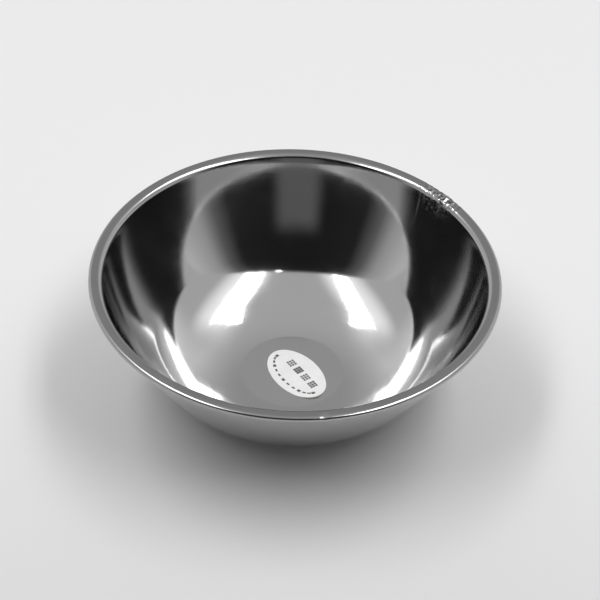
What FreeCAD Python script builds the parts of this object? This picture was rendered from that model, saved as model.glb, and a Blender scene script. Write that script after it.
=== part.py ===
"""Shaving bowl: one pressed and spun stainless sheet, with an oval paper label glued inside on its base.

Millimetres, +Z up. The origin is the centre of the flat resting face, on the bowl's axis. -Y is the front.

The bowl is a sheet of even thickness, swept round the axis. The sheet's inside line starts on the axis,
crosses the flat base circle, bends up at a shallow crease, climbs the flared wall to the mouth, bends outward
into a short flat lip and ends in an edge that is curled under.
"""
import FreeCAD
import Part
import math
import os

# Bowl
RIM_DIAMETER = 115.0       # over the curled edge
DEPTH = 37.5               # from the lip's face down to the base's inside face
SHEET = 0.6                # thickness of the stainless sheet
BASE_RADIUS = 14.8         # flat circle, inside line
MOUTH_RADIUS = 53.6        # end of the wall, just below the lip

# Bends of the sheet, as radii of its inside line
CREASE_RADIUS = 1.2
WALL_FOOT_RADIUS = 61.0
LIP_BEND_RADIUS = 1.6
CURL_RADIUS = 0.8

# Slope of the wall in degrees from level, after each of its bends
CREASE_SLOPE = 5.0
FOOT_SLOPE = 18.0
MIDDLE_SLOPE = 52.0
MOUTH_SLOPE = 72.0
LIP_SLOPE = 2.0
CURL_TURN = 230.0          # how far the edge is curled under

# Oval label
LABEL_LENGTH = 22.4
LABEL_WIDTH = 13.9
LABEL_TURN = -54.5         # degrees from +X to its long axis
LABEL_X = 1.3
LABEL_Y = -1.2
ADHESIVE = 0.04
PAPER = 0.10


def sine(degrees):
    return math.sin(math.radians(degrees))


def cosine(degrees):
    return math.cos(math.radians(degrees))


def wall_radii():
    """Radii of the wall's lower and upper arcs, which bring it to the mouth at the right radius and height."""
    across = MOUTH_RADIUS - BASE_RADIUS - CREASE_RADIUS * sine(CREASE_SLOPE)
    across -= WALL_FOOT_RADIUS * (sine(FOOT_SLOPE) - sine(CREASE_SLOPE))
    up = DEPTH - LIP_BEND_RADIUS * (cosine(LIP_SLOPE) - cosine(MOUTH_SLOPE))
    up -= CREASE_RADIUS * (1 - cosine(CREASE_SLOPE))
    up -= WALL_FOOT_RADIUS * (cosine(CREASE_SLOPE) - cosine(FOOT_SLOPE))
    lower_across = sine(MIDDLE_SLOPE) - sine(FOOT_SLOPE)
    upper_across = sine(MOUTH_SLOPE) - sine(MIDDLE_SLOPE)
    lower_up = cosine(FOOT_SLOPE) - cosine(MIDDLE_SLOPE)
    upper_up = cosine(MIDDLE_SLOPE) - cosine(MOUTH_SLOPE)
    scale = lower_across * upper_up - upper_across * lower_up
    lower = (across * upper_up - upper_across * up) / scale
    upper = (lower_across * up - across * lower_up) / scale
    return lower, upper


def straight(start, heading, length):
    """Edge of a straight leg, and its end point."""
    end = start + FreeCAD.Vector(cosine(heading), 0, sine(heading)) * length
    return Part.LineSegment(start, end).toShape(), end


def bend(start, heading, turned, radius):
    """Edge of a bend that starts tangent to the heading and ends at the heading turned, and its end point."""
    side = math.copysign(radius, turned - heading)
    centre = start + FreeCAD.Vector(-sine(heading), 0, cosine(heading)) * side

    def at(angle):
        return centre + FreeCAD.Vector(sine(angle), 0, -cosine(angle)) * side

    end = at(turned)
    return Part.Arc(start, at((heading + turned) / 2), end).toShape(), end


def sheet_line():
    """The sheet's inside line, from the axis to the end of the curl."""
    lower_radius, upper_radius = wall_radii()
    edges = []
    edge, point = straight(FreeCAD.Vector(0, 0, SHEET), 0, BASE_RADIUS)
    edges.append(edge)
    slope = 0.0
    wall = ((CREASE_SLOPE, CREASE_RADIUS), (FOOT_SLOPE, WALL_FOOT_RADIUS), (MIDDLE_SLOPE, lower_radius),
            (MOUTH_SLOPE, upper_radius), (LIP_SLOPE, LIP_BEND_RADIUS))
    for next_slope, radius in wall:
        edge, point = bend(point, slope, next_slope, radius)
        edges.append(edge)
        slope = next_slope
    curl_reach = CURL_RADIUS * (1 + sine(LIP_SLOPE))
    lip_length = (RIM_DIAMETER / 2 - curl_reach - point.x) / cosine(LIP_SLOPE)
    edge, point = straight(point, LIP_SLOPE, lip_length)
    edges.append(edge)
    edge, point = bend(point, LIP_SLOPE, LIP_SLOPE - CURL_TURN, CURL_RADIUS)
    edges.append(edge)
    return Part.Wire(edges)


def bowl_shell():
    """The line given the sheet's thickness on its outer side, then swept a full turn."""
    section = sheet_line().makeOffset2D(-SHEET, 0, True, True)
    return section.revolve(FreeCAD.Vector(0, 0, 0), FreeCAD.Vector(0, 0, 1), 360)


def label_layer(bottom, thickness):
    """One oval layer of the label, lying on the base."""
    oval = Part.Ellipse(FreeCAD.Vector(0, 0, 0), LABEL_LENGTH / 2, LABEL_WIDTH / 2).toShape()
    layer = Part.Face(Part.Wire([oval])).extrude(FreeCAD.Vector(0, 0, thickness))
    layer.rotate(FreeCAD.Vector(0, 0, 0), FreeCAD.Vector(0, 0, 1), LABEL_TURN)
    layer.translate(FreeCAD.Vector(LABEL_X, LABEL_Y, bottom))
    return layer


def main():
    nodes = {
        "bowl_shell": bowl_shell(),
        "label_adhesive": label_layer(SHEET, ADHESIVE),
        "label_paper": label_layer(SHEET + ADHESIVE, PAPER),
    }
    os.makedirs("parts", exist_ok=True)
    for name, shape in nodes.items():
        shape.exportStep(os.path.join("parts", name + ".step"))
        box = shape.optimalBoundingBox(False)
        print(f"{name}: {len(shape.Solids)} solid, valid {shape.isValid()}, {shape.Volume:.2f} mm3, "
              f"{box.XLength:.2f} x {box.YLength:.2f} x {box.ZLength:.2f} mm, z {box.ZMin:.3f} to {box.ZMax:.3f}")


main()
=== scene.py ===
"""Shaving bowl: one pressed and spun stainless sheet with an oval paper label, on a pale studio floor.

Lengths are in metres and angles in radians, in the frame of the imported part: +Z up, the origin at the
centre of the flat resting face, and -Y the front. The property groups hold what a user would change.
"""
import math

import bpy
from mathutils import Matrix, Vector, noise


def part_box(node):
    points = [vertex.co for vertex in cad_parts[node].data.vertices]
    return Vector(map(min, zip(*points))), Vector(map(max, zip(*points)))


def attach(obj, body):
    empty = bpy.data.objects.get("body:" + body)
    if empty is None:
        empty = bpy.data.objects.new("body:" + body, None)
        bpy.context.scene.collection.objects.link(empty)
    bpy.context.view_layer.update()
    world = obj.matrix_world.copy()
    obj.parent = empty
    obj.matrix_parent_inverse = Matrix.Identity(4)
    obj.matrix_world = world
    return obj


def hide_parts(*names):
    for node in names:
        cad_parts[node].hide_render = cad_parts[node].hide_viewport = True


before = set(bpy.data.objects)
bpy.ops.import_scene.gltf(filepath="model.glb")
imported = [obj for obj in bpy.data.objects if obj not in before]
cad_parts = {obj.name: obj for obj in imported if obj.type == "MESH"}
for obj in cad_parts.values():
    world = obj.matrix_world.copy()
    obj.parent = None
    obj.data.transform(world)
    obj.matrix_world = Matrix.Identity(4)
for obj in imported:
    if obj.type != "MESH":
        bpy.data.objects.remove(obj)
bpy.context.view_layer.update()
SHELL_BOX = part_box("bowl_shell")
PAPER_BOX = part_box("label_paper")

bl_info = {
    "name": "Shaving bowl",
    "version": (1, 0, 0),
    "blender": (4, 5, 0),
    "location": "View3D > Sidebar > Bowl",
    "description": "Builds a polished stainless shaving bowl with an oval paper label inside it",
    "category": "Add Mesh",
}

MM = 0.001
FLOOR_HALF = 6.0

# Second tones of the finishes, mixed in unevenly; the steel's dark tone is also painted shade along the lip
STEEL_GRIME_AND_LIP_SHADE = "#3a3a3a"
PAPER_CLOUD = "#dedede"
INK_STARVED = "#8a8a8a"
ADHESIVE_STREAK = "#b4b2aa"

# Strip lights, as shares of their height above the floor: near side, far side, and turn in degrees
STRIPS = {
    "strip_left": (-0.56, -0.36, -9.6),
    "strip_right_inner": (0.30, 0.40, 6.5),
    "strip_right_outer": (0.43, 0.56, 6.5),
}
STRIPS_FRONT = -0.50
STRIPS_BACK = 0.55
SMALL_LAMP_PLACE = (0.19, -0.53)
SMALL_LAMP_SIZE = 0.05
SMALL_LAMP_RADIANCE = 6.0

# Tone of the studio's walls from the front, 0, round to the back, 1
WALL_TONES = ((0.0, 0.014), (0.13, 0.02), (0.20, 0.14), (0.27, 0.42),
              (0.40, 0.66), (0.78, 0.85), (0.95, 0.80), (0.995, 0.40))
PANEL_TONE = (0.13, 0.13, 0.13, 1.0)


# Properties

def length_property(name, description, millimetres):
    return bpy.props.FloatProperty(name=name, description=description, default=millimetres * MM, min=0.0,
                                   precision=5, unit="LENGTH")


def angle_property(name, description, degrees):
    return bpy.props.FloatProperty(name=name, description=description, default=math.radians(degrees),
                                   unit="ROTATION", subtype="ANGLE")


def colour_property(name, description, hex_value):
    return bpy.props.FloatVectorProperty(name=name, description=description, default=linear(hex_value),
                                         size=4, min=0.0, max=1.0, subtype="COLOR")


def linear(hex_value):
    """Linear RGBA of an sRGB hex colour."""
    channels = [int(hex_value[i:i + 2], 16) / 255 for i in (1, 3, 5)]
    return [c / 12.92 if c <= 0.04045 else ((c + 0.055) / 1.055) ** 2.4 for c in channels] + [1.0]


class BowlSizes(bpy.types.PropertyGroup):
    """Driving sizes of the spun sheet, along its inside line."""
    rim_diameter: length_property("Rim diameter", "Over the curled edge",
                                  (SHELL_BOX[1].x - SHELL_BOX[0].x) / MM)
    depth: length_property("Depth", "From the lip's face down to the base's inside face", 37.5)
    sheet: length_property("Sheet", "Thickness of the stainless sheet", 0.6)
    base_radius: length_property("Base radius", "Flat circle, inside line", 14.8)
    mouth_radius: length_property("Mouth radius", "Where the wall meets the lip's bend", 53.6)
    crease_radius: length_property("Crease radius", "Bend around the flat base", 1.2)
    foot_radius: length_property("Wall foot radius", "Bend above the crease", 61.0)
    lip_bend_radius: length_property("Lip bend radius", "Bend from the wall out to the lip", 1.6)
    curl_radius: length_property("Curl radius", "Edge curled under", 0.8)
    crease_slope: angle_property("Crease slope", "Slope after the crease", 5.0)
    foot_slope: angle_property("Foot slope", "Slope after the wall's foot", 18.0)
    middle_slope: angle_property("Middle slope", "Slope between the wall's two long arcs", 52.0)
    mouth_slope: angle_property("Mouth slope", "Slope of the wall at the mouth", 72.0)
    lip_slope: angle_property("Lip slope", "Rise of the lip to its edge", 2.0)
    curl_turn: angle_property("Curl turn", "How far the edge is curled under", 230.0)


class BowlWear(bpy.types.PropertyGroup):
    """Damage at the bowl's edge."""
    crumple_azimuth: angle_property("Crumple azimuth", "Middle of the crumpled stretch of edge", 41.0)
    crumple_half: angle_property("Crumple half width", "From its middle to its end", 10.0)
    crumple_depth: length_property("Crumple depth", "Height of its folds", 0.45)
    ding_azimuth: angle_property("Ding azimuth", "Middle of the small dent in the front edge", -81.0)
    ding_half: angle_property("Ding half width", "From its middle to its end", 1.8)
    ding_depth: length_property("Ding depth", "Depth of the small dent", 0.13)


class BowlLabel(bpy.types.PropertyGroup):
    """Sizes of the oval label and its print."""
    length: length_property("Length", "Along the oval", 22.4)
    width: length_property("Width", "Across the oval", 13.9)
    turn: angle_property("Turn", "From the bowl's X axis to the label's long axis", -54.5)
    lift: length_property("Lift", "How far the lower end has come away from the glue", 0.4)
    tile: length_property("Tile", "Side of one printed tile", 2.5)
    mark: length_property("Mark", "Length of one mark of the printed arc", 1.05)
    marks: bpy.props.IntProperty(name="Marks", description="In the printed arc", default=13, min=1)
    ink: length_property("Ink", "Thickness of the print", 0.012)


class BowlFinish(bpy.types.PropertyGroup):
    """Colours and gloss of the bowl's materials."""
    steel_colour: colour_property("Steel", "Reflected colour of the polished sheet", "#cccccc")
    steel_roughness: bpy.props.FloatProperty(name="Steel roughness", description="Of the polished sheet",
                                             default=0.055, min=0.0, max=1.0)
    paper_colour: colour_property("Label paper", "Face of the label", "#d2d2d2")
    ink_colour: colour_property("Label ink", "Print on the label", "#454545")
    adhesive_colour: colour_property("Label adhesive", "Dried glue under the label", "#d8d6cf")


class BowlStudio(bpy.types.PropertyGroup):
    """Camera, floor and lights."""
    camera_distance: length_property("Camera distance", "From the rim's centre", 552.0)
    camera_elevation: angle_property("Camera elevation", "Above the rim's plane", 40.73)
    camera_roll: angle_property("Camera roll", "Turn about the view", 2.08)
    aim_x: bpy.props.FloatProperty(name="Aim X", description="Across from the axis", default=1.52 * MM,
                                   unit="LENGTH")
    aim_z: bpy.props.FloatProperty(name="Aim Z", description="Below the rim's plane", default=-9.09 * MM,
                                   unit="LENGTH")
    lens: bpy.props.FloatProperty(name="Lens", description="Focal length in millimetres", default=118.9)
    light_height: length_property("Light height", "Of the strip lights above the floor", 1500.0)
    strip_strength: bpy.props.FloatProperty(name="Strip strength", description="Radiance of the strip lights",
                                            default=6.5, min=0.0)
    floor_colour: colour_property("Floor", "Pale studio floor, at the back", "#dbdbdb")
    # Painted shade: a darker floor tone at the front, standing in for the light falling off
    floor_front_painted_shade: colour_property("Floor front", "Pale studio floor, at the front", "#c7c7c7")
    backdrop_colour: colour_property("Backdrop", "Pale backdrop behind the floor", "#ececec")


# Nodes

def add_node(tree, kind, settings=None, links=None):
    """Adds one node, sets its properties and unlinked inputs, and links its inputs from other sockets."""
    node = tree.nodes.new(kind)
    for name, value in (settings or {}).items():
        if isinstance(name, str) and name in node.bl_rna.properties:
            setattr(node, name, value)
        else:
            node.inputs[name].default_value = value
    for name, socket in (links or {}).items():
        tree.links.new(socket, node.inputs[name])
    return node


def new_material(name):
    """An empty node material and its tree."""
    material = bpy.data.materials.new(name)
    material.use_nodes = True
    material.node_tree.nodes.clear()
    return material, material.node_tree


def finish_material(tree, shader):
    """Sends the shader to the material's surface."""
    add_node(tree, "ShaderNodeOutputMaterial", links={"Surface": shader.outputs[0]})


# Stage

def studio_floor(settings):
    """Matt pale board, wide enough to reach the horizon of every view."""
    half = FLOOR_HALF
    corners = [(-half, -half, 0), (half, -half, 0), (half, half, 0), (-half, half, 0)]
    mesh = bpy.data.meshes.new("studio_floor")
    mesh.from_pydata(corners, [], [(0, 1, 2, 3)])
    floor = bpy.data.objects.new("studio_floor", mesh)
    bpy.context.scene.collection.objects.link(floor)
    material, tree = new_material("matt_coated_board")
    place = add_node(tree, "ShaderNodeTexCoord")
    axes = add_node(tree, "ShaderNodeSeparateXYZ", links={"Vector": place.outputs["Object"]})
    # Painted shade: the board is darker towards the front, standing in for the light falling off
    along = add_node(tree, "ShaderNodeMapRange",
                     {"interpolation_type": "SMOOTHSTEP", "From Min": -0.17, "From Max": 0.03},
                     {"Value": axes.outputs[1]})
    tone = add_node(tree, "ShaderNodeMix",
                    {"data_type": "RGBA", 6: settings.floor_front_painted_shade, 7: settings.floor_colour},
                    {0: along.outputs[0]})
    # Coating mottle about 1.1 mm across
    mottle = add_node(tree, "ShaderNodeTexNoise", {"Scale": 900.0, "Detail": 2.0},
                      {"Vector": place.outputs["Object"]})
    relief = add_node(tree, "ShaderNodeBump", {"Strength": 0.1, "Distance": 0.0001},
                      {"Height": mottle.outputs[0]})
    shader = add_node(tree, "ShaderNodeBsdfPrincipled", {"Roughness": 0.9, "Specular IOR Level": 0.2},
                      {"Base Color": tone.outputs[2], "Normal": relief.outputs[0]})
    finish_material(tree, shader)
    mesh.materials.append(material)


def area_light(name, centre, size, radiance, turn=0.0):
    """Flat rectangular light facing straight down, turned about the vertical, hidden from the camera."""
    light = bpy.data.lights.new(name, "AREA")
    light.shape = "RECTANGLE"
    light.size = size[0]
    light.size_y = size[1]
    light.energy = radiance * math.pi * size[0] * size[1]
    lamp = bpy.data.objects.new(name, light)
    lamp.location = centre
    lamp.rotation_euler.z = turn
    lamp.visible_camera = False
    bpy.context.scene.collection.objects.link(lamp)


def strip_lights(settings):
    """Long strips overhead, front to back, closing in towards the back, and one small lamp in front."""
    height = settings.light_height
    for name, (near, far, degrees) in STRIPS.items():
        centre = ((near + far) / 2 * height, (STRIPS_FRONT + STRIPS_BACK) / 2 * height, height)
        size = ((far - near) * height, (STRIPS_BACK - STRIPS_FRONT) * height)
        area_light(name, centre, size, settings.strip_strength, math.radians(degrees))
    place = (SMALL_LAMP_PLACE[0] * height, SMALL_LAMP_PLACE[1] * height, height)
    side = SMALL_LAMP_SIZE * height
    area_light("small_lamp", place, (side, side), SMALL_LAMP_RADIANCE)


def surroundings(settings):
    """Studio tent as the steel sees it: pale ceiling and sides, greyer back, open dark front.

    The camera itself sees a plain pale backdrop.
    """
    world = bpy.data.worlds.new("studio_tent")
    bpy.context.scene.world = world
    world.use_nodes = True
    tree = world.node_tree
    tree.nodes.clear()
    place = add_node(tree, "ShaderNodeTexCoord")
    axes = add_node(tree, "ShaderNodeSeparateXYZ", links={"Vector": place.outputs["Generated"]})
    x, y, z = (axes.outputs[i] for i in range(3))
    level_squared = add_node(tree, "ShaderNodeMath", {"operation": "MULTIPLY"}, {0: z, 1: z})
    flat = add_node(tree, "ShaderNodeMath", {"operation": "SUBTRACT", 0: 1.0}, {1: level_squared.outputs[0]})
    reach = add_node(tree, "ShaderNodeMath", {"operation": "SQRT"}, {0: flat.outputs[0]})
    facing = add_node(tree, "ShaderNodeMath", {"operation": "DIVIDE"}, {0: y, 1: reach.outputs[0]})
    turn = add_node(tree, "ShaderNodeMapRange", {"From Min": -1.0, "From Max": 1.0},
                    {"Value": facing.outputs[0]})
    walls = add_node(tree, "ShaderNodeValToRGB", links={"Fac": turn.outputs[0]})
    ramp = walls.color_ramp
    while len(ramp.elements) < len(WALL_TONES):
        ramp.elements.new(0.5)
    for element, (at, tone) in zip(ramp.elements, WALL_TONES):
        element.position = at
        element.color = (tone, tone, tone, 1.0)
    # A low grey panel stands in the middle of the dark front
    beside = add_node(tree, "ShaderNodeMath", {"operation": "ABSOLUTE"}, {0: x})
    narrow = add_node(tree, "ShaderNodeMapRange",
                      {"interpolation_type": "SMOOTHSTEP", "From Min": 0.30, "From Max": 0.12},
                      {"Value": beside.outputs[0]})
    low = add_node(tree, "ShaderNodeMapRange",
                   {"interpolation_type": "SMOOTHSTEP", "From Min": 0.50, "From Max": 0.36}, {"Value": z})
    ahead = add_node(tree, "ShaderNodeMapRange", {"From Min": 0.0, "From Max": -0.2}, {"Value": y})
    low_panel = add_node(tree, "ShaderNodeMath", {"operation": "MULTIPLY"},
                         {0: narrow.outputs[0], 1: low.outputs[0]})
    panel = add_node(tree, "ShaderNodeMath", {"operation": "MULTIPLY"},
                     {0: low_panel.outputs[0], 1: ahead.outputs[0]})
    room = add_node(tree, "ShaderNodeMix", {"data_type": "RGBA", 7: PANEL_TONE},
                    {0: panel.outputs[0], 6: walls.outputs[0]})
    # The ceiling reaches forward to a sharp edge and fades into the back wall
    above = add_node(tree, "ShaderNodeMath", {"operation": "MAXIMUM", 1: 0.02}, {0: z})
    along = add_node(tree, "ShaderNodeMath", {"operation": "DIVIDE"}, {0: y, 1: above.outputs[0]})
    across = add_node(tree, "ShaderNodeMath", {"operation": "DIVIDE"}, {0: x, 1: above.outputs[0]})
    front_edge = add_node(tree, "ShaderNodeMapRange",
                          {"interpolation_type": "SMOOTHSTEP", "From Min": -0.60, "From Max": -0.48},
                          {"Value": along.outputs[0]})
    back_fade = add_node(tree, "ShaderNodeMapRange",
                         {"interpolation_type": "SMOOTHSTEP", "From Min": 1.3, "From Max": 0.4},
                         {"Value": along.outputs[0]})
    ceiling_share = add_node(tree, "ShaderNodeMath", {"operation": "MULTIPLY"},
                             {0: front_edge.outputs[0], 1: back_fade.outputs[0]})
    # The cloth glows around the strip lights
    off_centre = add_node(tree, "ShaderNodeMath", {"operation": "ABSOLUTE"}, {0: across.outputs[0]})
    outer_glow = add_node(tree, "ShaderNodeMapRange",
                          {"interpolation_type": "SMOOTHSTEP", "From Min": 1.15, "From Max": 0.60},
                          {"Value": off_centre.outputs[0]})
    inner_glow = add_node(tree, "ShaderNodeMapRange",
                          {"interpolation_type": "SMOOTHSTEP", "From Min": 0.20, "From Max": 0.42},
                          {"Value": off_centre.outputs[0]})
    back_glow = add_node(tree, "ShaderNodeMapRange",
                         {"interpolation_type": "SMOOTHSTEP", "From Min": 0.95, "From Max": 0.40},
                         {"Value": along.outputs[0]})
    sides_glow = add_node(tree, "ShaderNodeMath", {"operation": "MULTIPLY"},
                          {0: outer_glow.outputs[0], 1: inner_glow.outputs[0]})
    glow = add_node(tree, "ShaderNodeMath", {"operation": "MULTIPLY"},
                    {0: sides_glow.outputs[0], 1: back_glow.outputs[0]})
    # A dull round fitting hangs between the strips
    overhead = add_node(tree, "ShaderNodeCombineXYZ", links={"X": across.outputs[0], "Y": along.outputs[0]})
    off_fitting = add_node(tree, "ShaderNodeVectorMath", {"operation": "DISTANCE", 1: (-0.02, 0.02, 0.0)},
                           {0: overhead.outputs[0]})
    cloth = add_node(tree, "ShaderNodeMapRange",
                     {"interpolation_type": "SMOOTHSTEP", "From Min": 0.10, "From Max": 0.15, "To Min": 0.42,
                      "To Max": 0.56}, {"Value": off_fitting.outputs[0]})
    ceiling = add_node(tree, "ShaderNodeMath", {"operation": "MULTIPLY_ADD", 1: 0.7},
                       {0: glow.outputs[0], 2: cloth.outputs[0]})
    tent = add_node(tree, "ShaderNodeMix", {"data_type": "RGBA"},
                    {0: ceiling_share.outputs[0], 6: room.outputs[2], 7: ceiling.outputs[0]})
    lit = add_node(tree, "ShaderNodeBackground", {"Strength": 1.0}, {"Color": tent.outputs[2]})
    seen = add_node(tree, "ShaderNodeBackground", {"Color": settings.backdrop_colour, "Strength": 1.0})
    ray = add_node(tree, "ShaderNodeLightPath")
    both = add_node(tree, "ShaderNodeMixShader",
                    links={0: ray.outputs["Is Camera Ray"], 1: lit.outputs[0], 2: seen.outputs[0]})
    add_node(tree, "ShaderNodeOutputWorld", links={"Surface": both.outputs[0]})


def studio_camera(settings, sizes):
    """Camera in front of the bowl, looking down into it."""
    rim = sizes.depth + sizes.sheet - sizes.curl_radius
    elevation = settings.camera_elevation
    place = Vector((0.0, -math.cos(elevation), math.sin(elevation))) * settings.camera_distance
    place.z += rim
    target = Vector((settings.aim_x, 0.0, settings.aim_z + rim))
    camera = bpy.data.cameras.new("studio_camera")
    camera.lens = settings.lens
    camera.sensor_width = 36.0
    camera.clip_start = 0.01
    camera.clip_end = 50.0
    holder = bpy.data.objects.new("studio_camera", camera)
    bpy.context.scene.collection.objects.link(holder)
    look = (target - place).to_track_quat("-Z", "Y").to_matrix()
    turned = look @ Matrix.Rotation(settings.camera_roll, 3, "Z")
    holder.matrix_world = Matrix.Translation(place) @ turned.to_4x4()
    bpy.context.scene.camera = holder


# Bowl

def wall_radii(s):
    """Radii of the wall's lower and upper arcs, which bring it to the mouth's radius and height."""
    across = s.mouth_radius - s.base_radius - s.crease_radius * math.sin(s.crease_slope)
    across -= s.foot_radius * (math.sin(s.foot_slope) - math.sin(s.crease_slope))
    up = s.depth - s.lip_bend_radius * (math.cos(s.lip_slope) - math.cos(s.mouth_slope))
    up -= s.crease_radius * (1 - math.cos(s.crease_slope))
    up -= s.foot_radius * (math.cos(s.crease_slope) - math.cos(s.foot_slope))
    lower_across = math.sin(s.middle_slope) - math.sin(s.foot_slope)
    upper_across = math.sin(s.mouth_slope) - math.sin(s.middle_slope)
    lower_up = math.cos(s.foot_slope) - math.cos(s.middle_slope)
    upper_up = math.cos(s.middle_slope) - math.cos(s.mouth_slope)
    scale = lower_across * upper_up - upper_across * lower_up
    lower = (across * upper_up - upper_across * up) / scale
    upper = (lower_across * up - across * lower_up) / scale
    return lower, upper


def inside_line(s):
    """Points (radius, height, heading) of the sheet's inside line, from the axis to the end of the curl."""
    lower, upper = wall_radii(s)
    rings = 8
    lip_steps = 4
    points = [(s.base_radius * i / rings, s.sheet, 0.0) for i in range(rings + 1)]
    slope = 0.0
    bends = ((s.crease_slope, s.crease_radius, 3), (s.foot_slope, s.foot_radius, 8),
             (s.middle_slope, lower, 24), (s.mouth_slope, upper, 20), (s.lip_slope, s.lip_bend_radius, 8))
    for turned, radius, steps in bends:
        points += bend(points[-1], slope, turned, radius, steps)
        slope = turned
    radius, height, _ = points[-1]
    curl_reach = s.curl_radius * (1 + math.sin(slope))
    lip = (s.rim_diameter / 2 - curl_reach - radius) / math.cos(slope)
    for i in range(1, lip_steps + 1):
        out = lip * math.cos(slope) * i / lip_steps
        rise = lip * math.sin(slope) * i / lip_steps
        points.append((radius + out, height + rise, slope))
    points += bend(points[-1], slope, slope - s.curl_turn, s.curl_radius, 12)
    return points


def bend(start, heading, turned, radius, steps):
    """Points along an arc tangent to the heading at its start and to turned at its end."""
    side = math.copysign(radius, turned - heading)
    across = start[0] - side * math.sin(heading)
    up = start[1] + side * math.cos(heading)
    made = []
    for i in range(1, steps + 1):
        angle = heading + (turned - heading) * i / steps
        made.append((across + side * math.sin(angle), up - side * math.cos(angle), angle))
    return made


def hump(offset, half):
    """1 in the middle of a stretch, falling smoothly to 0 at its ends."""
    share = max(0.0, 1.0 - (offset / half) ** 2)
    return share * share


def azimuth_steps(wear):
    """Azimuths of the sweep, every 0.75 degree, and every 0.25 degree where the edge is damaged."""
    spans = ((wear.crumple_azimuth, wear.crumple_half), (wear.ding_azimuth, wear.ding_half))
    azimuths = []
    for quarter in range(4 * 360):
        azimuth = math.radians(quarter / 4 - 180)
        damaged = any(abs(azimuth - middle) < half for middle, half in spans)
        if quarter % 3 == 0 or damaged:
            azimuths.append(azimuth)
    return azimuths


def edge_damage(radius, height, azimuth, s, wear):
    """Drop of a point of the sheet where the edge is crumpled or dented."""
    reach = s.rim_diameter / 2
    near_edge = min(1.0, max(0.0, (radius - 0.86 * reach) / (0.10 * reach)))
    fold = hump(azimuth - wear.crumple_azimuth, wear.crumple_half) * near_edge
    # Folds about 1 mm apart round the edge, on a slower wave
    around = 60.0 * azimuth
    crinkle = noise.noise(Vector((around, radius * 700, height * 500)))
    folds = crinkle + 0.35 * math.sin(around * 0.7)
    at_edge = min(1.0, max(0.0, (radius - 0.965 * reach) / (0.02 * reach)))
    dent = hump(azimuth - wear.ding_azimuth, wear.ding_half) * at_edge
    return wear.crumple_depth * fold * folds + wear.ding_depth * dent


def spun_mesh(s, wear):
    """Closed mesh of the sheet, swept round the axis, with the damage at its edge."""
    inside = inside_line(s)
    outside = [(r + s.sheet * math.sin(a), z - s.sheet * math.cos(a), a) for r, z, a in reversed(inside[1:])]
    section = inside[1:] + outside
    follow = inside[1:] + list(reversed(inside[1:]))
    azimuths = azimuth_steps(wear)
    verts = [(0.0, 0.0, s.sheet), (0.0, 0.0, 0.0)]
    for azimuth in azimuths:
        c, n = math.cos(azimuth), math.sin(azimuth)
        for (r, z, _), (line_r, line_z, _) in zip(section, follow):
            verts.append((r * c, r * n, z - edge_damage(line_r, line_z, azimuth, s, wear)))
    count = len(section)
    faces = []
    for i in range(len(azimuths)):
        a = 2 + i * count
        b = 2 + (i + 1) % len(azimuths) * count
        faces.append((0, a, b))
        faces += [(a + j, a + j + 1, b + j + 1, b + j) for j in range(count - 1)]
        faces.append((a + count - 1, 1, b + count - 1))
    mesh = bpy.data.meshes.new("spun_bowl")
    mesh.from_pydata(verts, [], faces)
    mesh.polygons.foreach_set("use_smooth", [True] * len(mesh.polygons))
    mesh.update()
    return mesh


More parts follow.
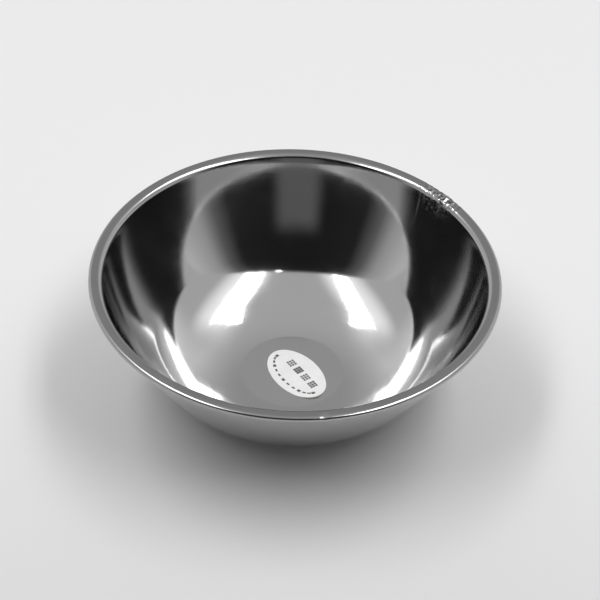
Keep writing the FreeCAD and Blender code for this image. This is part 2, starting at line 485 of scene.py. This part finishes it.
def polished_steel(finish, sizes, wear):
    """Stainless sheet, spun and mirror polished: a cool grey mirror.

    Buffing round the axis leaves very fine rings, wiping leaves cloudy smears, the lip is duller from
    handling and darkened with painted shade, and the crumpled stretch of edge is scuffed.
    """
    material, tree = new_material("stainless_steel_spun_mirror_polished")
    place = add_node(tree, "ShaderNodeTexCoord")
    axes = add_node(tree, "ShaderNodeSeparateXYZ", links={"Vector": place.outputs["Object"]})
    level = add_node(tree, "ShaderNodeVectorMath", {"operation": "MULTIPLY", 1: (1.0, 1.0, 0.0)},
                     {0: place.outputs["Object"]})
    radius = add_node(tree, "ShaderNodeVectorMath", {"operation": "LENGTH"}, {0: level.outputs[0]})
    section = add_node(tree, "ShaderNodeCombineXYZ",
                       links={"X": radius.outputs["Value"], "Y": axes.outputs[2]})
    # Rings about 0.4 mm apart, coarser than real buffing lines so that they show
    rings = add_node(tree, "ShaderNodeTexNoise", {"noise_dimensions": "2D", "Scale": 2500.0, "Detail": 3.0},
                     {"Vector": section.outputs[0]})
    # Smears about 25 mm across
    smear = add_node(tree, "ShaderNodeTexNoise",
                     {"Scale": 40.0, "Detail": 5.0, "Roughness": 0.55, "Distortion": 0.8},
                     {"Vector": place.outputs["Object"]})
    wiped = add_node(tree, "ShaderNodeMapRange",
                     {"From Min": 0.38, "From Max": 0.72, "To Min": finish.steel_roughness,
                      "To Max": finish.steel_roughness * 2.0}, {"Value": smear.outputs[0]})
    ringed = add_node(tree, "ShaderNodeMapRange",
                      {"From Min": 0.4, "From Max": 0.8, "To Max": finish.steel_roughness * 0.6},
                      {"Value": rings.outputs[0]})
    lip = sizes.depth + sizes.sheet
    handled_and_shaded_lip = add_node(tree, "ShaderNodeMapRange",
                       {"From Min": lip - 1.5 * MM, "From Max": lip - 0.4 * MM, "To Max": 0.10},
                       {"Value": axes.outputs[2]})
    reach = sizes.rim_diameter / 2
    middle = (reach * math.cos(wear.crumple_azimuth), reach * math.sin(wear.crumple_azimuth), lip)
    away = add_node(tree, "ShaderNodeVectorMath", {"operation": "DISTANCE", 1: middle},
                    {0: place.outputs["Object"]})
    near = add_node(tree, "ShaderNodeMapRange",
                    {"interpolation_type": "SMOOTHSTEP", "From Min": 0.010, "From Max": 0.003},
                    {"Value": away.outputs["Value"]})
    # Scuffs about 1.1 mm across
    flecks = add_node(tree, "ShaderNodeTexNoise", {"Scale": 900.0, "Detail": 3.0, "Roughness": 0.7},
                      {"Vector": place.outputs["Object"]})
    sharp = add_node(tree, "ShaderNodeMapRange", {"From Min": 0.48, "From Max": 0.60},
                     {"Value": flecks.outputs[0]})
    scuffed = add_node(tree, "ShaderNodeMath", {"operation": "MULTIPLY"},
                       {0: near.outputs[0], 1: sharp.outputs[0]})
    polish = add_node(tree, "ShaderNodeMath", {"operation": "ADD"},
                      {0: wiped.outputs[0], 1: ringed.outputs[0]})
    dull = add_node(tree, "ShaderNodeMath", {"operation": "ADD"},
                    {0: polish.outputs[0], 1: handled_and_shaded_lip.outputs[0]})
    rough = add_node(tree, "ShaderNodeMath", {"operation": "MULTIPLY_ADD", 1: 0.35},
                     {0: scuffed.outputs[0], 2: dull.outputs[0]})
    # Painted shade: the lip's colour is darkened toward the dark tone, standing in for the darker reflection
    # it shows
    lip_painted_shade = add_node(tree, "ShaderNodeMath", {"operation": "MULTIPLY", 1: 3.6}, {0: handled_and_shaded_lip.outputs[0]})
    grime_and_lip_shade = add_node(tree, "ShaderNodeMath", {"operation": "MULTIPLY_ADD", 1: 0.7, "use_clamp": True},
                     {0: scuffed.outputs[0], 2: lip_painted_shade.outputs[0]})
    colour = add_node(tree, "ShaderNodeMix",
                      {"data_type": "RGBA", 6: finish.steel_colour, 7: linear(STEEL_GRIME_AND_LIP_SHADE)},
                      {0: grime_and_lip_shade.outputs[0]})
    relief = add_node(tree, "ShaderNodeBump", {"Strength": 0.12, "Distance": 0.00001},
                      {"Height": rings.outputs[0]})
    shader = add_node(tree, "ShaderNodeBsdfPrincipled", {"Metallic": 1.0},
                      {"Base Color": colour.outputs[2], "Roughness": rough.outputs[0],
                       "Normal": relief.outputs[0]})
    finish_material(tree, shader)
    return material


# Label

def coated_paper(finish):
    """Coated label paper, cut by die: an even white face with a trace of fibre and a soft sheen."""
    material, tree = new_material("coated_label_paper_die_cut")
    place = add_node(tree, "ShaderNodeTexCoord")
    # Fibre about 0.45 mm long, coarser than real fibre so that it shows, and clouds about 4.5 mm across
    fibre = add_node(tree, "ShaderNodeTexNoise", {"Scale": 2200.0, "Detail": 4.0, "Roughness": 0.6},
                     {"Vector": place.outputs["Object"]})
    cloud = add_node(tree, "ShaderNodeTexNoise", {"Scale": 220.0, "Detail": 2.0},
                     {"Vector": place.outputs["Object"]})
    share = add_node(tree, "ShaderNodeMapRange", {"From Min": 0.35, "From Max": 0.75, "To Max": 0.5},
                     {"Value": cloud.outputs[0]})
    tone = add_node(tree, "ShaderNodeMix",
                    {"data_type": "RGBA", 6: finish.paper_colour, 7: linear(PAPER_CLOUD)},
                    {0: share.outputs[0]})
    relief = add_node(tree, "ShaderNodeBump", {"Strength": 0.25, "Distance": 0.00002},
                      {"Height": fibre.outputs[0]})
    shader = add_node(tree, "ShaderNodeBsdfPrincipled", {"Roughness": 0.55},
                      {"Base Color": tone.outputs[2], "Normal": relief.outputs[0]})
    finish_material(tree, shader)
    return material


def printed_ink(finish):
    """Flexographic ink on coated paper: mid grey, a little uneven where it took badly."""
    material, tree = new_material("flexographic_ink_printed")
    place = add_node(tree, "ShaderNodeTexCoord")
    # Starved spots about 0.4 mm across
    uneven = add_node(tree, "ShaderNodeTexNoise", {"Scale": 2600.0, "Detail": 3.0, "Roughness": 0.7},
                      {"Vector": place.outputs["Object"]})
    share = add_node(tree, "ShaderNodeMapRange", {"From Min": 0.45, "From Max": 0.75, "To Max": 0.7},
                     {"Value": uneven.outputs[0]})
    tone = add_node(tree, "ShaderNodeMix",
                    {"data_type": "RGBA", 6: finish.ink_colour, 7: linear(INK_STARVED)},
                    {0: share.outputs[0]})
    shader = add_node(tree, "ShaderNodeBsdfPrincipled", {"Roughness": 0.45}, {"Base Color": tone.outputs[2]})
    finish_material(tree, shader)
    return material


def dried_adhesive(finish):
    """Pressure-sensitive adhesive, coated and dried: a thin glossy film with streaks of the coater."""
    material, tree = new_material("pressure_sensitive_adhesive_coated")
    place = add_node(tree, "ShaderNodeTexCoord")
    stretch = add_node(tree, "ShaderNodeVectorMath", {"operation": "MULTIPLY", 1: (1.0, 6.0, 1.0)},
                       {0: place.outputs["Object"]})
    # Streaks about 3.3 mm long and 0.6 mm apart
    streak = add_node(tree, "ShaderNodeTexNoise", {"Scale": 300.0, "Detail": 2.0},
                      {"Vector": stretch.outputs[0]})
    tone = add_node(tree, "ShaderNodeMix",
                    {"data_type": "RGBA", 6: finish.adhesive_colour, 7: linear(ADHESIVE_STREAK)},
                    {0: streak.outputs[0]})
    relief = add_node(tree, "ShaderNodeBump", {"Strength": 0.3, "Distance": 0.00001},
                      {"Height": streak.outputs[0]})
    shader = add_node(tree, "ShaderNodeBsdfPrincipled", {"Roughness": 0.25},
                      {"Base Color": tone.outputs[2], "Normal": relief.outputs[0]})
    finish_material(tree, shader)
    return material


def label_point(u, v, above, label):
    """Point above the label's underside, u along the label and v across it, on the paper as it lies."""
    start = 0.55
    share = max(0.0, (2 * u / label.length - start) / (1 - start))
    lifted = label.lift * share * share
    wave = 0.015 * MM * math.sin(u / (2.1 * MM)) * math.cos(v / (3.0 * MM))
    c, n = math.cos(label.turn), math.sin(label.turn)
    middle = (PAPER_BOX[0] + PAPER_BOX[1]) / 2
    height = PAPER_BOX[0].z + lifted + max(0.0, wave) + above
    return (middle.x + u * c - v * n, middle.y + u * n + v * c, height)


def oval_mesh(label, thickness):
    """Closed oval sheet of paper."""
    rings, steps = 14, 96
    verts = []
    for above in (thickness, 0.0):
        verts.append(label_point(0.0, 0.0, above, label))
        for ring in range(1, rings + 1):
            for step in range(steps):
                angle = 2 * math.pi * step / steps
                u = label.length / 2 * ring / rings * math.cos(angle)
                v = label.width / 2 * ring / rings * math.sin(angle)
                verts.append(label_point(u, v, above, label))
    layer = 1 + rings * steps
    faces = []
    for step in range(steps):
        after = (step + 1) % steps
        faces.append((0, 1 + step, 1 + after))
        faces.append((layer, layer + 1 + after, layer + 1 + step))
        for ring in range(rings - 1):
            near, far = 1 + ring * steps, 1 + (ring + 1) * steps
            faces.append((near + step, far + step, far + after, near + after))
            faces.append((layer + near + after, layer + far + after, layer + far + step, layer + near + step))
        edge = 1 + (rings - 1) * steps
        faces.append((edge + step, layer + edge + step, layer + edge + after, edge + after))
    mesh = bpy.data.meshes.new("printed_label")
    mesh.from_pydata(verts, [], faces)
    mesh.update()
    return mesh


def add_bar(verts, faces, middle, size, turn, label):
    """One printed bar: a thin slab that follows the paper."""
    thickness = PAPER_BOX[1].z - PAPER_BOX[0].z
    columns = 4
    c, n = math.cos(turn), math.sin(turn)
    first = len(verts)
    for above in (thickness + label.ink, thickness - label.ink):
        for column in range(columns + 1):
            for side in (-0.5, 0.5):
                along = size[0] * (column / columns - 0.5)
                across = size[1] * side
                u = middle[0] + along * c - across * n
                v = middle[1] + along * n + across * c
                verts.append(label_point(u, v, above, label))
    low = first + 2 * (columns + 1)
    for column in range(columns):
        a = first + 2 * column
        b = low + 2 * column
        faces.append((a, a + 2, a + 3, a + 1))
        faces.append((b + 1, b + 3, b + 2, b))
        faces.append((b, b + 2, a + 2, a))
        faces.append((a + 1, a + 3, b + 3, b + 1))
    last = 2 * columns
    faces.append((first, first + 1, low + 1, low))
    faces.append((low + last, low + last + 1, first + last + 1, first + last))


def print_mesh(label):
    """Generic print: a row of four tiles, each a plain grid of squares, and an arc of plain marks."""
    verts, faces = [], []
    cell = label.tile / 3
    for tile, fill in enumerate((0.78, 0.92, 0.78, 0.84)):
        middle = ((tile - 1.5) * 1.42 * label.tile + 0.9 * MM, 1.3 * MM)
        for column in range(3):
            for row in range(3):
                place = (middle[0] + (column - 1) * cell, middle[1] + (row - 1) * cell)
                add_bar(verts, faces, place, (cell * fill, cell * fill), 0.0, label)
    half_length, half_width = 0.84 * label.length / 2, 0.67 * label.width / 2
    for mark in range(label.marks):
        angle = math.radians(-173 + 166 * mark / (label.marks - 1))
        place = (half_length * math.cos(angle), half_width * math.sin(angle))
        turn = math.atan2(half_width * math.cos(angle), -half_length * math.sin(angle))
        height = label.mark * (0.55 if mark % 3 else 0.85)
        add_bar(verts, faces, place, (label.mark, height), turn, label)
    mesh = bpy.data.meshes.new("label_print")
    mesh.from_pydata(verts, [], faces)
    mesh.update()
    return mesh


# Operators

class BOWL_OT_stage(bpy.types.Operator):
    """Adds the floor, the lights, the surroundings and the camera"""
    bl_idname = "shaving_bowl.stage"
    bl_label = "Studio"

    def execute(self, context):
        settings = context.scene.bowl_studio
        studio_floor(settings)
        strip_lights(settings)
        surroundings(settings)
        studio_camera(settings, context.scene.bowl_sizes)
        context.scene.view_settings.view_transform = "Standard"
        return {"FINISHED"}


class BOWL_OT_shell(bpy.types.Operator):
    """Spins the steel bowl"""
    bl_idname = "shaving_bowl.shell"
    bl_label = "Spun bowl"

    def execute(self, context):
        sizes = context.scene.bowl_sizes
        wear = context.scene.bowl_wear
        if min(wall_radii(sizes)) <= 0:
            raise ValueError("These sizes leave no room for the wall's two arcs")
        bowl = bpy.data.objects.new("spun_bowl", spun_mesh(sizes, wear))
        context.scene.collection.objects.link(bowl)
        bowl.data.materials.append(polished_steel(context.scene.bowl_finish, sizes, wear))
        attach(bowl, "root")
        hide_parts("bowl_shell")
        return {"FINISHED"}


class BOWL_OT_label(bpy.types.Operator):
    """Cuts the oval paper label and finishes the adhesive under it"""
    bl_idname = "shaving_bowl.label"
    bl_label = "Paper label"

    def execute(self, context):
        finish = context.scene.bowl_finish
        thickness = PAPER_BOX[1].z - PAPER_BOX[0].z
        paper = bpy.data.objects.new("printed_label", oval_mesh(context.scene.bowl_label, thickness))
        context.scene.collection.objects.link(paper)
        paper.data.materials.append(coated_paper(finish))
        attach(paper, "root")
        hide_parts("label_paper")
        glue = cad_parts["label_adhesive"]
        glue.data.materials.clear()
        glue.data.materials.append(dried_adhesive(finish))
        return {"FINISHED"}


class BOWL_OT_print(bpy.types.Operator):
    """Prints the generic tiles and marks on the label"""
    bl_idname = "shaving_bowl.print"
    bl_label = "Label print"

    def execute(self, context):
        ink = bpy.data.objects.new("label_print", print_mesh(context.scene.bowl_label))
        context.scene.collection.objects.link(ink)
        ink.data.materials.append(printed_ink(context.scene.bowl_finish))
        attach(ink, "root")
        return {"FINISHED"}


class VIEW3D_PT_shaving_bowl(bpy.types.Panel):
    """Buttons that build the shaving bowl"""
    bl_label = "Shaving bowl"
    bl_space_type = "VIEW_3D"
    bl_region_type = "UI"
    bl_category = "Bowl"

    def draw(self, context):
        for operator in OPERATORS:
            self.layout.operator(operator.bl_idname)


OPERATORS = (BOWL_OT_stage, BOWL_OT_shell, BOWL_OT_label, BOWL_OT_print)
GROUPS = {"bowl_sizes": BowlSizes, "bowl_wear": BowlWear, "bowl_label": BowlLabel, "bowl_finish": BowlFinish,
          "bowl_studio": BowlStudio}


def register():
    for group in GROUPS.values():
        bpy.utils.register_class(group)
    for name, group in GROUPS.items():
        setattr(bpy.types.Scene, name, bpy.props.PointerProperty(type=group))
    for operator in OPERATORS:
        bpy.utils.register_class(operator)
    bpy.utils.register_class(VIEW3D_PT_shaving_bowl)


def unregister():
    bpy.utils.unregister_class(VIEW3D_PT_shaving_bowl)
    for operator in reversed(OPERATORS):
        bpy.utils.unregister_class(operator)
    for name, group in GROUPS.items():
        delattr(bpy.types.Scene, name)
        bpy.utils.unregister_class(group)


def main():
    register()
    bpy.ops.shaving_bowl.stage()
    bpy.ops.shaving_bowl.shell()
    bpy.ops.shaving_bowl.label()
    bpy.ops.shaving_bowl.print()


if __name__ == "__main__":
    main()
